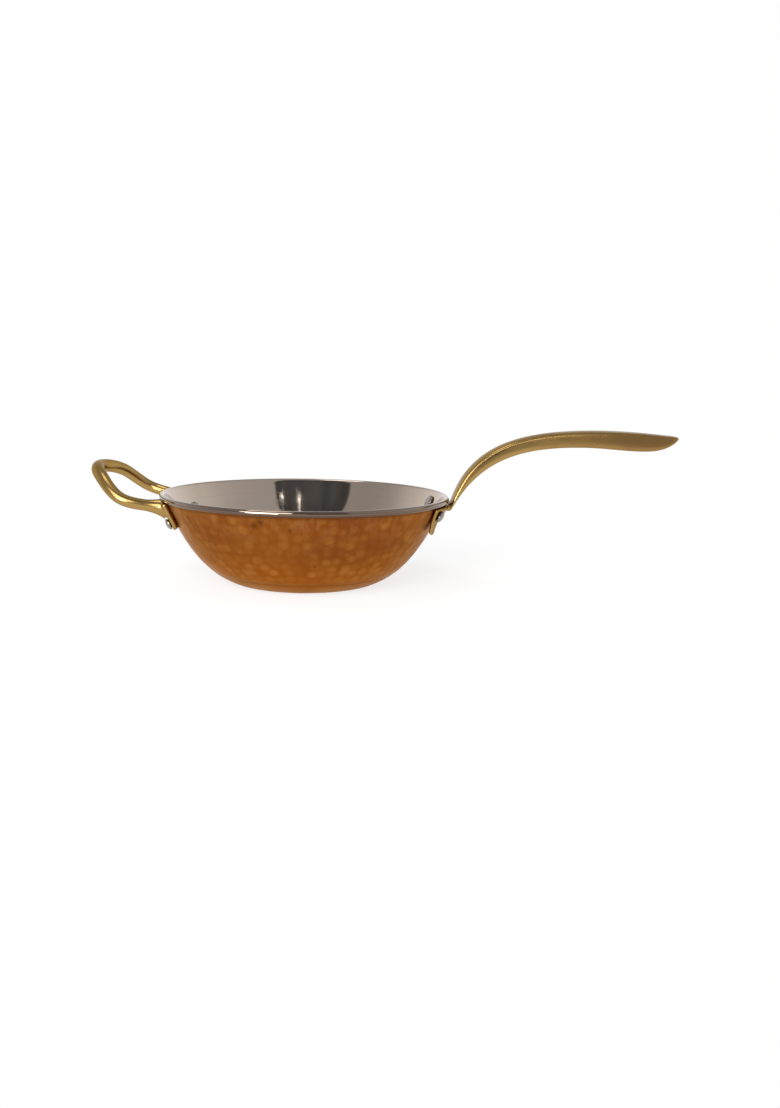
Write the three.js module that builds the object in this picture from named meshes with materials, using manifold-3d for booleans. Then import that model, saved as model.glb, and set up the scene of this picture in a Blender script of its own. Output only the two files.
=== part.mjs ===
// Tadka pan: a small, deep pan for tempering spices. A hammered copper bowl is lined with polished
// steel, whose edge is rolled over the copper's. A long cast brass handle arches over the rim on one
// side and a brass loop stands out on the other, each held by two rivets through the wall.
// Millimetres. The origin is the centre of the resting face, +Z is up and +X runs along the long handle.

import * as THREE from 'three';
import { mergeVertices } from 'three/addons/utils/BufferGeometryUtils.js';
import Module from 'manifold-3d';

// Bowl. Its wall is drawn on the copper's outer face, as one curve from the base corner to the rim.
const RIM_DIAMETER = 180;
const BOWL_HEIGHT = 54.8;
const BASE_DIAMETER = 86;
const BASE_CORNER_RADIUS = 10;
const WALL_BASE_ANGLE = 22; // degrees above the table
const WALL_RIM_ANGLE = 64.5; // degrees above the table
const WALL_BASE_PULL = 21.2; // how firmly the curve keeps each end's angle
const WALL_RIM_PULL = 27.7;
const COPPER_SHEET = 0.8;
const STEEL_SHEET = 0.8;
const SHEET_GAP = 0.3; // between the two sheets
const ROLL_ROOM = 0.3; // spare room round the copper's edge inside the rolled rim

// Clearances of the castings and the rivets
const CAST_GAP = 0.3; // casting to bowl
const RIVET_HOLE_GAP = 0.3; // hole wall to shank
const RIVET_SEAT_GAP = 0.3; // under each rivet head

// Rivets: a domed head outside and a wide flat one inside the bowl
const RIVET_SHANK_DIAMETER = 5;
const RIVET_HEAD_DIAMETER = 7;
const RIVET_HEAD_HEIGHT = 2.2;
const RIVET_TAIL_DIAMETER = 8.4;
const RIVET_TAIL_HEIGHT = 1.3;
const RIVET_HEAD_EDGE = 0.6; // straight side of each head, below its dome

// Feet of both castings. Depths run down the wall from the copper's edge.
const FOOT_RIM_GAP = 0.4; // below the rolled rim
const FOOT_BEVEL = 0.7; // round the front and the back

// Long handle's foot: a yoke round the wall under the rim, with a tongue hanging from each end
const YOKE_HEIGHT = 4.8;
const YOKE_THICKNESS = 2.6;
const YOKE_CORNER = 1.6; // rounding of its lower corners
const TONGUE_WIDTH = 18; // at the yoke
const TONGUE_TIP_WIDTH = 6.4;
const TONGUE_CORNER = 1.8; // rounding of its lower corners
const TONGUE_LENGTH = 17;
const TONGUE_THICKNESS = 2;
const TONGUE_FLARE = 2; // how far its lower end stands off the wall
const HANDLE_RIVET_ANGLE = 19; // degrees to each side of the handle, round the bowl
const HANDLE_RIVET_DEPTH = 7;

// Long handle's side view. Reach is measured from the rim, rise from the rim's top.
const HANDLE_REACH = 141;
const HANDLE_RISE = 42.3;
const CREST_REACH = 97;
const CREST_PULL = 48.5;
const KNEE_REACH = 1.8; // where the arm turns up, clear of the rim
const KNEE_DROP = 3; // below the rim's top
const KNEE_PULL = 1.3;
const KNEE_THICKNESS = 4.8;
const KNEE_TILT = 82; // degrees, of the arm's depth at the knee
const ARM_TOP_ANGLE = 72.5; // degrees, where the arm's top turns up
const ARM_TOP_PULL = 39.4;
const ARM_UNDER_ANGLE = 62; // degrees, where the arm's underside turns up
const ARM_UNDER_PULL = 32.9;
const UNDER_WAIST_REACH = 83;
const UNDER_WAIST_DEPTH = 9.7; // below the crest
const UNDER_WAIST_PULL = 44;
const BELLY_REACH = 117;
const BELLY_DEPTH = 11.2; // below the crest
const BELLY_PULL = 11;
const TIP_DROP = 2.6; // below the crest
const TIP_THICKNESS = 0.8;
const TIP_TOP_ANGLE = 5; // degrees, downward
const TIP_TOP_PULL = 15;
const TIP_UNDER_PULL = 8;
const TIP_UNDER_ANGLE = 42; // degrees, where the underside runs up to the tip

// Long handle's plan and section, an inverted channel hollowed from below
const ARM_ROOT_WIDTH = 21;
const ARM_WAIST_WIDTH = 19;
const GRIP_WIDTH = 24;
const TIP_WIDTH = 7;
const ARM_WAIST_AT = 0.4; // shares of the handle's length
const GRIP_AT = 0.8;
const NOSE_AT = 0.86;
const ARM_CROWN = 0.7; // of the top face
const ARM_TOP_EDGE = 1.6; // radius along the upper edges
const ARM_UNDER_EDGE = 0.8; // bevel along the lower edges
const CHANNEL_SIDE_WALL = 3;
const CHANNEL_TOP_WALL = 3;
const CHANNEL_FROM = 0.14; // shares of the handle's length
const CHANNEL_TO = 0.9;
const CHANNEL_RUN_OUT = 0.08;

// Loop handle's centre line, through a leg and a bend on each side and one tip. Reach is measured from the
// rim, rise and drop from the rim's top, and spread from the middle.
const LOOP_LEG_REACH = 16.1;
const LOOP_LEG_SPREAD = 35.5;
const LOOP_LEG_DROP = 2.2;
const LOOP_BEND_REACH = 31.3;
const LOOP_BEND_SPREAD = 24.1;
const LOOP_BEND_RISE = 10;
const LOOP_TIP_REACH = 38.8;
const LOOP_TIP_RISE = 14;
const LOOP_LEG_DIAMETER = 6.8;
const LOOP_TIP_DIAMETER = 8.2;
const LOOP_ROOT_DIAMETER = 13.4;
const LOOP_ROOT_LENGTH = 15; // over which the bar flares into each foot
const LOOP_ROOT_DEPTH = 6.6;
const LOOP_FOOT_ANGLE = 20; // degrees to each side of the loop, round the bowl
const LOOP_FOOT_WIDTH = 14;
const LOOP_FOOT_THICKNESS = 2.7;
const LOOP_FOOT_LENGTH = 18;
const LOOP_RIVET_DEPTH = 15.6;

// Fineness of the curved faces
const BOWL_SEGMENTS = 64;
const RIVET_SEGMENTS = 16;
const CORNER_STEPS = 2;
const WALL_STEPS = 8;
const ROLL_STEPS = 5;
const FOOT_STEPS = 4;
const YOKE_COLUMNS = 14;
const TONGUE_COLUMNS = 5;
const ARM_STATIONS = 36;
const EDGE_STEPS = 3;
const LOOP_STATIONS = 36;
const LOOP_SIDES = 12;
const DOME_STEPS = 3;
const OVERRUN = 2; // how far cutting solids reach past what they cut
const MERGE_DISTANCE = 1e-4;

const radians = THREE.MathUtils.degToRad;
const mix = THREE.MathUtils.lerp;
const smooth = THREE.MathUtils.smoothstep;
const vec2 = (x, y) => new THREE.Vector2(x, y);
const heading = (degrees) => vec2(Math.cos(radians(degrees)), Math.sin(radians(degrees)));

const wasm = await Module();
wasm.setup();

// Turn a closed geometry into a solid that can be joined and cut.
function solidOf(geometry) {
  const bare = new THREE.BufferGeometry();
  bare.setAttribute('position', geometry.getAttribute('position'));
  bare.setIndex(geometry.getIndex());
  const merged = mergeVertices(bare, MERGE_DISTANCE);
  const index = merged.getIndex();
  const triangles = [];
  for (let i = 0; i < index.count; i += 3) {
    const corners = [index.getX(i), index.getX(i + 1), index.getX(i + 2)];
    if (new Set(corners).size === 3) triangles.push(...corners);
  }
  const mesh = new wasm.Mesh({
    numProp: 3,
    vertProperties: new Float32Array(merged.getAttribute('position').array),
    triVerts: new Uint32Array(triangles),
  });
  return new wasm.Manifold(mesh);
}

function geometryOf(solid) {
  const { vertProperties, triVerts } = solid.getMesh();
  const geometry = new THREE.BufferGeometry();
  geometry.setAttribute('position', new THREE.BufferAttribute(vertProperties, 3));
  geometry.setIndex(new THREE.BufferAttribute(triVerts, 1));
  geometry.computeVertexNormals();
  return geometry;
}

// Revolve a profile of (radius, height) points about the Z axis.
function revolve(profile, segments) {
  return new THREE.LatheGeometry(profile, segments).rotateX(Math.PI / 2);
}

// Join rings of equally many points into one closed solid, with a fan over each end.
function loft(rings) {
  const count = rings[0].length;
  const last = (rings.length - 1) * count;
  const triangles = [];
  for (let ring = 0; ring < rings.length - 1; ring += 1) {
    for (let i = 0; i < count; i += 1) {
      const a = ring * count + i;
      const b = ring * count + ((i + 1) % count);
      triangles.push(a, b, a + count, b, b + count, a + count);
    }
  }
  for (let i = 1; i < count - 1; i += 1) {
    triangles.push(0, i + 1, i, last, last + i, last + i + 1);
  }
  const geometry = new THREE.BufferGeometry().setFromPoints(rings.flat());
  geometry.setIndex(triangles);
  return geometry;
}

// Rolled rim: the steel wraps a hollow that holds the copper's edge.
const rimRadius = RIM_DIAMETER / 2;
const rollBore = COPPER_SHEET / 2 + SHEET_GAP + ROLL_ROOM;
const rollRadius = rollBore + STEEL_SHEET;
const rollCentre = vec2(rimRadius - rollRadius, BOWL_HEIGHT - rollRadius);
const wallUp = heading(WALL_RIM_ANGLE);
const wallIn = vec2(-wallUp.y, wallUp.x);
const edgeOffset = COPPER_SHEET + SHEET_GAP - rollBore; // copper's face to the roll's centre
const copperEdge = rollCentre.clone().addScaledVector(wallIn, -edgeOffset);

// Wall curve, on the copper's outer face
const wallStart = vec2(
  BASE_DIAMETER / 2 + BASE_CORNER_RADIUS * Math.sin(radians(WALL_BASE_ANGLE)),
  BASE_CORNER_RADIUS * (1 - Math.cos(radians(WALL_BASE_ANGLE))),
);
const wallCurve = new THREE.CubicBezierCurve(
  wallStart,
  wallStart.clone().addScaledVector(heading(WALL_BASE_ANGLE), WALL_BASE_PULL),
  copperEdge.clone().addScaledVector(wallUp, -WALL_RIM_PULL),
  copperEdge,
);
const wallLength = wallCurve.getLength();

// Points of the bowl's section at a distance inside the copper's outer face, from the base to the edge.
function sheetFace(inset) {
  const points = [vec2(0, inset)];
  for (let i = 0; i <= CORNER_STEPS; i += 1) {
    const turn = heading(-90 + (WALL_BASE_ANGLE * i) / CORNER_STEPS);
    const centre = vec2(BASE_DIAMETER / 2, BASE_CORNER_RADIUS);
    points.push(centre.addScaledVector(turn, BASE_CORNER_RADIUS - inset));
  }
  for (let i = 1; i <= WALL_STEPS; i += 1) {
    const along = wallCurve.getTangentAt(i / WALL_STEPS);
    points.push(wallCurve.getPointAt(i / WALL_STEPS).addScaledVector(vec2(-along.y, along.x), inset));
  }
  return points;
}

// Points round the rolled rim, from the wall's inner side over the top and down outside the copper.
function rollArc(radius, wrap) {
  const points = [];
  for (let i = 0; i <= ROLL_STEPS; i += 1) {
    const turn = (wrap * i) / ROLL_STEPS;
    const point = rollCentre.clone().addScaledVector(wallIn, radius * Math.cos(turn));
    points.push(point.addScaledVector(wallUp, radius * Math.sin(turn)));
  }
  return points;
}

// How far an arc of the roll can turn before it comes within a gap of the copper's outer face.
function rollWrap(radius, gap) {
  return 2 * Math.PI - Math.acos(-(edgeOffset + gap) / radius);
}

function copperSection() {
  return [...sheetFace(0), ...sheetFace(COPPER_SHEET).reverse()];
}

function steelSection() {
  const outside = COPPER_SHEET + SHEET_GAP;
  const wrap = rollWrap(rollBore, SHEET_GAP);
  return [
    ...sheetFace(outside).slice(0, -1),
    ...rollArc(rollBore, wrap),
    ...rollArc(rollRadius, wrap).reverse(),
    ...sheetFace(outside + STEEL_SHEET).reverse().slice(1),
  ];
}

// The room that the castings leave for the bowl: its outside with the rolled rim, filled solid.
function bowlRoom() {
  const radius = rollRadius + CAST_GAP;
  const overRim = rollArc(radius, rollWrap(radius, CAST_GAP)).reverse();
  const section = [...sheetFace(-CAST_GAP).slice(0, -1), ...overRim];
  const lid = section[section.length - 1].y;
  return solidOf(revolve([...section, vec2(0, lid)], BOWL_SEGMENTS));
}

// A point beside the wall, at a depth below the copper's edge, an offset outward and an angle round Z.
function beside(depth, offset, angle) {
  const along = wallCurve.getTangentAt(1 - depth / wallLength);
  const point = wallCurve.getPointAt(1 - depth / wallLength).addScaledVector(vec2(along.y, -along.x), offset);
  return new THREE.Vector3(point.x * Math.cos(angle), point.x * Math.sin(angle), point.y);
}

// Every foot starts just below the rolled rim.
const footTop = rollRadius + FOOT_RIM_GAP;
const yokeWidth = 2 * radians(HANDLE_RIVET_ANGLE) * beside(footTop, 0, 0).x;
const yoke = {
  width: yokeWidth,
  tipWidth: yokeWidth,
  length: YOKE_HEIGHT,
  round: YOKE_CORNER,
  thickness: YOKE_THICKNESS,
};
const tongue = {
  width: TONGUE_WIDTH,
  tipWidth: TONGUE_TIP_WIDTH,
  length: TONGUE_LENGTH,
  round: TONGUE_CORNER,
  thickness: TONGUE_THICKNESS,
  flare: TONGUE_FLARE,
  flareFrom: HANDLE_RIVET_DEPTH,
};
const loopFoot = {
  width: LOOP_FOOT_WIDTH,
  tipWidth: LOOP_FOOT_WIDTH,
  length: LOOP_FOOT_LENGTH,
  round: LOOP_FOOT_WIDTH / 2,
  thickness: LOOP_FOOT_THICKNESS,
};

// How far a foot's back stands off the wall at a depth: seated, or flaring away towards its end.
function standOff({ length, flare, flareFrom }, depth) {
  if (!flare) return CAST_GAP;
  const share = Math.max(0, depth - flareFrom) / (footTop + length - flareFrom);
  return CAST_GAP + flare * share ** 2;
}

// A cast foot on the wall: straight or tapering sides, then a round lower end, both faces bevelled.
function wallFoot(foot, angle, columns) {
  const shoulder = foot.length - foot.round;
  const halfAt = (depth) => mix(foot.width, foot.tipWidth, (depth - footTop) / shoulder) / 2;
  const levels = [
    { lift: 0, inset: FOOT_BEVEL },
    { lift: FOOT_BEVEL, inset: 0 },
    { lift: foot.thickness - FOOT_BEVEL, inset: 0 },
    { lift: foot.thickness, inset: FOOT_BEVEL },
  ];
  const layers = levels.map(({ lift, inset }) => {
    const rows = [{ depth: footTop + inset, half: foot.width / 2 - inset }];
    if (foot.flare) rows.push({ depth: foot.flareFrom, half: halfAt(foot.flareFrom) - inset });
    for (let i = 0; i <= FOOT_STEPS; i += 1) {
      const turn = (Math.PI / 2) * (i / FOOT_STEPS);
      const half = foot.tipWidth / 2 - inset - (foot.round - inset) * (1 - Math.cos(turn));
      rows.push({ depth: footTop + shoulder + (foot.round - inset) * Math.sin(turn), half });
    }
    return rows.map(({ depth, half }) => {
      const radius = beside(depth, 0, 0).x;
      const across = [];
      for (let i = 0; i <= columns; i += 1) {
        const turn = angle + (half / radius) * ((2 * i) / columns - 1);
        across.push(beside(depth, standOff(foot, depth) + lift, turn));
      }
      return across;
    });
  });
  return solidOf(footShell(layers));
}

// Close a foot: its first layer is the back face, its last the front, with strips between their borders.
function footShell(layers) {
  const rows = layers[0].length;
  const columns = layers[0][0].length;
  const vertex = (layer, row, column) => (layer * rows + row) * columns + column;
  const triangles = [];
  const quad = (a, b, c, d) => triangles.push(a, b, c, a, c, d);
  const front = layers.length - 1;
  for (let row = 0; row < rows - 1; row += 1) {
    for (let i = 0; i < columns - 1; i += 1) {
      quad(vertex(0, row, i), vertex(0, row, i + 1), vertex(0, row + 1, i + 1), vertex(0, row + 1, i));
      const corners = [[row, i], [row + 1, i], [row + 1, i + 1], [row, i + 1]];
      quad(...corners.map(([r, c]) => vertex(front, r, c)));
    }
  }
  const border = [];
  for (let i = 0; i < columns - 1; i += 1) border.push([0, i]);
  for (let row = 0; row < rows - 1; row += 1) border.push([row, columns - 1]);
  for (let i = columns - 1; i > 0; i -= 1) border.push([rows - 1, i]);
  for (let row = rows - 1; row > 0; row -= 1) border.push([row, 0]);
  for (let layer = 0; layer < front; layer += 1) {
    border.forEach(([row, i], at) => {
      const [nextRow, nextColumn] = border[(at + 1) % border.length];
      quad(
        vertex(layer, nextRow, nextColumn),
        vertex(layer, row, i),
        vertex(layer + 1, row, i),
        vertex(layer + 1, nextRow, nextColumn),
      );
    });
  }
  const geometry = new THREE.BufferGeometry().setFromPoints(layers.flat(2));
  geometry.setIndex(triangles);
  return geometry;
}

// Rivets stand square to the wall. Z of a rivet's own frame points out of the wall, from the copper's face.
const handleTurn = radians(HANDLE_RIVET_ANGLE);
const loopTurn = radians(LOOP_FOOT_ANGLE);
const rivetPlaces = [
  { name: 'handle_rivet_front', angle: -handleTurn, depth: HANDLE_RIVET_DEPTH, foot: tongue },
  { name: 'handle_rivet_back', angle: handleTurn, depth: HANDLE_RIVET_DEPTH, foot: tongue },
  { name: 'loop_rivet_front', angle: Math.PI + loopTurn, depth: LOOP_RIVET_DEPTH, foot: loopFoot },
  { name: 'loop_rivet_back', angle: Math.PI - loopTurn, depth: LOOP_RIVET_DEPTH, foot: loopFoot },
];

function placeOnWall(object, { angle, depth }) {
  object.position.copy(beside(depth, 0, angle));
  const out = beside(depth, 1, angle).sub(object.position);
  object.quaternion.setFromUnitVectors(new THREE.Vector3(0, 0, 1), out);
  return object;
}

// Height of the seat under a rivet's outer head, clear of the foot all round.
function headSeat({ depth, foot }) {
  return standOff(foot, depth + RIVET_HEAD_DIAMETER / 2) + foot.thickness + RIVET_SEAT_GAP;
}

function rivetShape(place) {
  const shank = RIVET_SHANK_DIAMETER / 2;
  const head = RIVET_HEAD_DIAMETER / 2;
  const tail = RIVET_TAIL_DIAMETER / 2;
  const hollow = tail ** 2 / (2 * beside(place.depth, 0, 0).x); // how far the bowl curves up round the tail
  const tailSeat = -(COPPER_SHEET + SHEET_GAP + STEEL_SHEET + RIVET_SEAT_GAP + hollow);
  const dome = (radius, seat, height) => {
    const points = [vec2(radius, seat)];
    const side = Math.sign(height) * RIVET_HEAD_EDGE;
    for (let i = 0; i <= DOME_STEPS; i += 1) {
      const turn = (Math.PI / 2) * (i / DOME_STEPS);
      points.push(vec2(radius * Math.cos(turn), seat + side + (height - side) * Math.sin(turn)));
    }
    points[points.length - 1].x = 0;
    return points;
  };
  const profile = [
    ...dome(tail, tailSeat, -RIVET_TAIL_HEIGHT).reverse(),
    vec2(shank, tailSeat),
    vec2(shank, headSeat(place)),
    ...dome(head, headSeat(place), RIVET_HEAD_HEIGHT),
  ];
  return revolve(profile, RIVET_SEGMENTS);
}

// A round cutter along a rivet's axis, between two heights over the copper's face.
function cutter(place, diameter, from, to) {
  const radius = diameter / 2 + RIVET_HOLE_GAP;
  const bit = new THREE.CylinderGeometry(radius, radius, to - from, RIVET_SEGMENTS);
  bit.rotateX(Math.PI / 2).translate(0, 0, (from + to) / 2);
  const holder = placeOnWall(new THREE.Object3D(), place);
  holder.updateMatrix();
  return solidOf(bit.applyMatrix4(holder.matrix));
}

// Cut the rivet holes through a solid, and room for the outer heads beyond their seats.
function drill(solid) {
  const inside = -(OVERRUN + COPPER_SHEET + SHEET_GAP + STEEL_SHEET);
  let drilled = solid;
  for (const place of rivetPlaces) {
    const seat = headSeat(place) - RIVET_SEAT_GAP;
    const outside = seat + RIVET_SEAT_GAP + RIVET_HEAD_HEIGHT + OVERRUN;
    drilled = drilled.subtract(cutter(place, RIVET_SHANK_DIAMETER, inside, outside));
    drilled = drilled.subtract(cutter(place, RIVET_HEAD_DIAMETER, seat, outside));
  }
  return drilled;
}

// Side view of the long handle: its top line and its underside, from the foot to the tip
function bezier(start, startArm, endArm, end) {
  return new THREE.CubicBezierCurve(start, start.clone().add(startArm), end.clone().add(endArm), end);
}

function handleLines() {
  const middle = CAST_GAP + YOKE_THICKNESS / 2;
  const rootTop = beside(footTop + FOOT_BEVEL, middle, 0);
  const rootUnder = beside(footTop + YOKE_HEIGHT - FOOT_BEVEL, middle, 0);
  const knee = vec2(rimRadius + KNEE_REACH, BOWL_HEIGHT - KNEE_DROP);
  const kneeUnder = knee.clone().addScaledVector(heading(KNEE_TILT), -KNEE_THICKNESS);
  const crest = vec2(rimRadius + CREST_REACH, BOWL_HEIGHT + HANDLE_RISE);
  const waist = vec2(rimRadius + UNDER_WAIST_REACH, crest.y - UNDER_WAIST_DEPTH);
  const belly = vec2(rimRadius + BELLY_REACH, crest.y - BELLY_DEPTH);
  const tip = vec2(rimRadius + HANDLE_REACH, crest.y - TIP_DROP);
  const tipUnder = vec2(tip.x, tip.y - TIP_THICKNESS);
  const level = (length) => vec2(length, 0);
  const rising = (angle, length) => heading(angle).multiplyScalar(length);

  const top = new THREE.CurvePath();
  top.add(bezier(vec2(rootTop.x, rootTop.z), level(KNEE_PULL), rising(ARM_TOP_ANGLE, -KNEE_PULL), knee));
  top.add(bezier(knee, rising(ARM_TOP_ANGLE, ARM_TOP_PULL), level(-CREST_PULL), crest));
  top.add(bezier(crest, level(TIP_TOP_PULL), rising(-TIP_TOP_ANGLE, -TIP_TOP_PULL), tip));
  const under = new THREE.CurvePath();
  const kneeArm = rising(ARM_UNDER_ANGLE, -KNEE_PULL);
  under.add(bezier(vec2(rootUnder.x, rootUnder.z), level(KNEE_PULL), kneeArm, kneeUnder));
  under.add(bezier(kneeUnder, rising(ARM_UNDER_ANGLE, ARM_UNDER_PULL), level(-UNDER_WAIST_PULL), waist));
  under.add(bezier(waist, level(BELLY_PULL), level(-BELLY_PULL), belly));
  under.add(bezier(belly, level(BELLY_PULL), rising(TIP_UNDER_ANGLE, -TIP_UNDER_PULL), tipUnder));
  return { top, under };
}

// Width of the handle in plan: flared at the foot, drawn in at the waist, full at the grip, round at the tip.
function handleWidth(share) {
  const drawnIn = Math.sin((Math.PI / 2) * Math.min(share / ARM_WAIST_AT, 1));
  const neck = mix(ARM_ROOT_WIDTH, ARM_WAIST_WIDTH, drawnIn);
  const grip = mix(neck, GRIP_WIDTH, smooth(share, ARM_WAIST_AT, GRIP_AT));
  const nose = Math.max(0, (share - NOSE_AT) / (1 - NOSE_AT));
  return mix(TIP_WIDTH, grip, Math.sqrt(1 - nose ** 2));
}

// Cross-section of the handle as (across, up) points, counted up from the underside.
function handleSection(width, depth) {
  const upper = Math.min(ARM_TOP_EDGE, depth / 2);
  const lower = Math.min(ARM_UNDER_EDGE, depth / 4);
  const half = width / 2;
  const right = [vec2(half - lower, 0), vec2(half, lower)];
  for (let i = 0; i <= EDGE_STEPS; i += 1) {
    const turn = heading((90 * i) / EDGE_STEPS);
    right.push(vec2(half - upper, depth - upper).addScaledVector(turn, upper));
  }
  const left = right.map((point) => vec2(-point.x, point.y)).reverse();
  return [...right, vec2(0, depth + Math.min(ARM_CROWN, depth / 4)), ...left];
}

function channelSection(width, rise) {
  const half = width / 2 - CHANNEL_SIDE_WALL;
  return [vec2(half, -OVERRUN), vec2(half, rise), vec2(-half, rise), vec2(-half, -OVERRUN)];
}

function longHandle() {
  const { top, under } = handleLines();
  const body = [];
  const channel = [];
  for (let i = 0; i <= ARM_STATIONS; i += 1) {
    const share = i / ARM_STATIONS;
    const base = under.getPoint(share);
    const up = top.getPoint(share).sub(base);
    const depth = up.length();
    up.normalize();
    const place = ({ x, y }) => new THREE.Vector3(base.x + up.x * y, x, base.y + up.y * y);
    const width = handleWidth(share);
    body.push(handleSection(width, depth).map(place));
    if (share < CHANNEL_FROM || share > CHANNEL_TO) continue;
    const fade = smooth(share, CHANNEL_FROM, CHANNEL_FROM + CHANNEL_RUN_OUT)
      * smooth(CHANNEL_TO - share, 0, CHANNEL_RUN_OUT);
    channel.push(channelSection(width, Math.max(0, depth - CHANNEL_TOP_WALL) * fade).map(place));
  }
  return solidOf(loft(body))
    .subtract(solidOf(loft(channel)))
    .add(wallFoot(yoke, 0, YOKE_COLUMNS))
    .add(wallFoot(tongue, -handleTurn, TONGUE_COLUMNS))
    .add(wallFoot(tongue, handleTurn, TONGUE_COLUMNS));
}

// Loop handle: a round bar, thicker at the tip, whose ends run into a foot each.
function loopHandle() {
  const place = (reach, spread, rise) => new THREE.Vector3(-rimRadius - reach, spread, BOWL_HEIGHT + rise);
  const side = (sign) => [
    beside(LOOP_ROOT_DEPTH, 0, Math.PI - sign * loopTurn),
    place(LOOP_LEG_REACH, sign * LOOP_LEG_SPREAD, -LOOP_LEG_DROP),
    place(LOOP_BEND_REACH, sign * LOOP_BEND_SPREAD, LOOP_BEND_RISE),
  ];
  const tip = place(LOOP_TIP_REACH, 0, LOOP_TIP_RISE);
  const line = new THREE.CatmullRomCurve3([...side(-1), tip, ...side(1).reverse()]);
  const length = line.getLength();
  const rings = [];
  for (let i = 0; i <= LOOP_STATIONS; i += 1) {
    const share = i / LOOP_STATIONS;
    const centre = line.getPointAt(share);
    const along = line.getTangentAt(share);
    const across = new THREE.Vector3(0, 0, 1).cross(along).normalize();
    const up = along.clone().cross(across);
    const bar = mix(LOOP_LEG_DIAMETER, LOOP_TIP_DIAMETER, Math.sin(Math.PI * share) ** 2);
    const fromFoot = Math.min(share, 1 - share) * length;
    const flare = Math.max(0, 1 - fromFoot / LOOP_ROOT_LENGTH) ** 2;
    const radius = mix(bar, LOOP_ROOT_DIAMETER, flare) / 2;
    const ring = [];
    for (let k = 0; k < LOOP_SIDES; k += 1) {
      const turn = heading((360 * k) / LOOP_SIDES).multiplyScalar(radius);
      ring.push(centre.clone().addScaledVector(across, turn.x).addScaledVector(up, turn.y));
    }
    rings.push(ring);
  }
  return solidOf(loft(rings))
    .add(wallFoot(loopFoot, Math.PI - loopTurn, TONGUE_COLUMNS))
    .add(wallFoot(loopFoot, Math.PI + loopTurn, TONGUE_COLUMNS));
}

const copper = new THREE.MeshStandardMaterial({ color: 0x8f5428, roughness: 0.45, metalness: 1 });
const steel = new THREE.MeshStandardMaterial({ color: 0xb9afa7, roughness: 0.15, metalness: 1 });
const brass = new THREE.MeshStandardMaterial({ color: 0x9c7a3c, roughness: 0.35, metalness: 1 });
const rivetSteel = new THREE.MeshStandardMaterial({ color: 0x8c8884, roughness: 0.4, metalness: 1 });

const pan = new THREE.Group();
pan.name = 'tadka_pan';

function addPiece(name, geometry, material) {
  const piece = new THREE.Mesh(geometry, material);
  piece.name = name;
  pan.add(piece);
  return piece;
}

const room = bowlRoom();
addPiece('copper_shell', geometryOf(drill(solidOf(revolve(copperSection(), BOWL_SEGMENTS)))), copper);
addPiece('steel_bowl', geometryOf(drill(solidOf(revolve(steelSection(), BOWL_SEGMENTS)))), steel);
addPiece('long_handle', geometryOf(drill(longHandle().subtract(room))), brass);
addPiece('loop_handle', geometryOf(drill(loopHandle().subtract(room))), brass);
for (const place of rivetPlaces) {
  placeOnWall(addPiece(place.name, rivetShape(place), rivetSteel), place);
}

export default pan;
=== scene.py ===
"""Looks of a tadka pan: hammered copper bowl, polished steel lining, cast brass handles and plain rivets.

Sizes are in millimetres and match the solids. Meshes are made in metres, in the solids' own frame.
"""

import math

import bmesh
import bpy
import numpy as np
from mathutils import Matrix, Vector


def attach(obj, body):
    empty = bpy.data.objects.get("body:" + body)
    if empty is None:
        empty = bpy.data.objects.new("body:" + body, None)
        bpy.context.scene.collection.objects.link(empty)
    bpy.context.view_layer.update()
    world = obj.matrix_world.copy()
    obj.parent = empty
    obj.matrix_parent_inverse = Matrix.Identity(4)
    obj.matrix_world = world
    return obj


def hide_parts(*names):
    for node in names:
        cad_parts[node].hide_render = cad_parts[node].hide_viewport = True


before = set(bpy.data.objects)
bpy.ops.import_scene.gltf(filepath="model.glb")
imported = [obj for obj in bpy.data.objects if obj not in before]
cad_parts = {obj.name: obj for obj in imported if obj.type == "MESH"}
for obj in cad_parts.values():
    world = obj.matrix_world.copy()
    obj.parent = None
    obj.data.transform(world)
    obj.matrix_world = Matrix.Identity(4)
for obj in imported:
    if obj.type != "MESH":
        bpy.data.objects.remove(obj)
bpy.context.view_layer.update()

MM = 0.001

# Bowl, as in the solids: the wall curve lies on the copper's outer face
RIM_RADIUS = 90
BOWL_HEIGHT = 54.8
BASE_RADIUS = 43
BASE_CORNER_RADIUS = 10
WALL_BASE_ANGLE = 22
WALL_RIM_ANGLE = 64.5
WALL_BASE_PULL = 21.2
WALL_RIM_PULL = 27.7
COPPER_SHEET = 0.8
STEEL_SHEET = 0.8
SHEET_GAP = 0.3
ROLL_BORE = 1.0
CAST_GAP = 0.3

# Hammer marks on the copper: overlapping shallow dishes in loose rows. A level is a share of a dish's depth
MARK_SEED = 7
MARK_ROW = 5.4  # between rows, down the wall
MARK_PITCH = 6.4  # between marks, round the wall
MARK_REACH = 3.5  # half-width of a dish
MARK_DEPTH = 0.13
MARK_STRAY = 0.3  # share of the pitch by which a mark strays
MARK_PRESS = 0.25  # level by which a blow is harder or lighter
MARK_SPARE_ROWS = 3  # more rows than the wall needs
RIDGE_LEVEL = 1.2  # highest between dishes
WALL_LEVEL = 0.75  # at which the beaten face lies on the solid's
MARKS_START = 1.6  # below the rim
MARKS_START_FADE = 2
MARKS_END_RADIUS = 58  # smooth below this ring
MARKS_END_FADE = 3
TURNED_LINE_DEPTH = 0.14
TURNED_LINE_WIDTH = 0.7
HAND_WAVE = 0.12  # slow unevenness of the beaten wall
HAND_WAVES = ((3, 0.6, 0), (5, 0, 1 / 9), (9, 0, -1 / 6))  # count round the wall, shift, lean with depth
HAND_WAVE_FADE = 12

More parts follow.
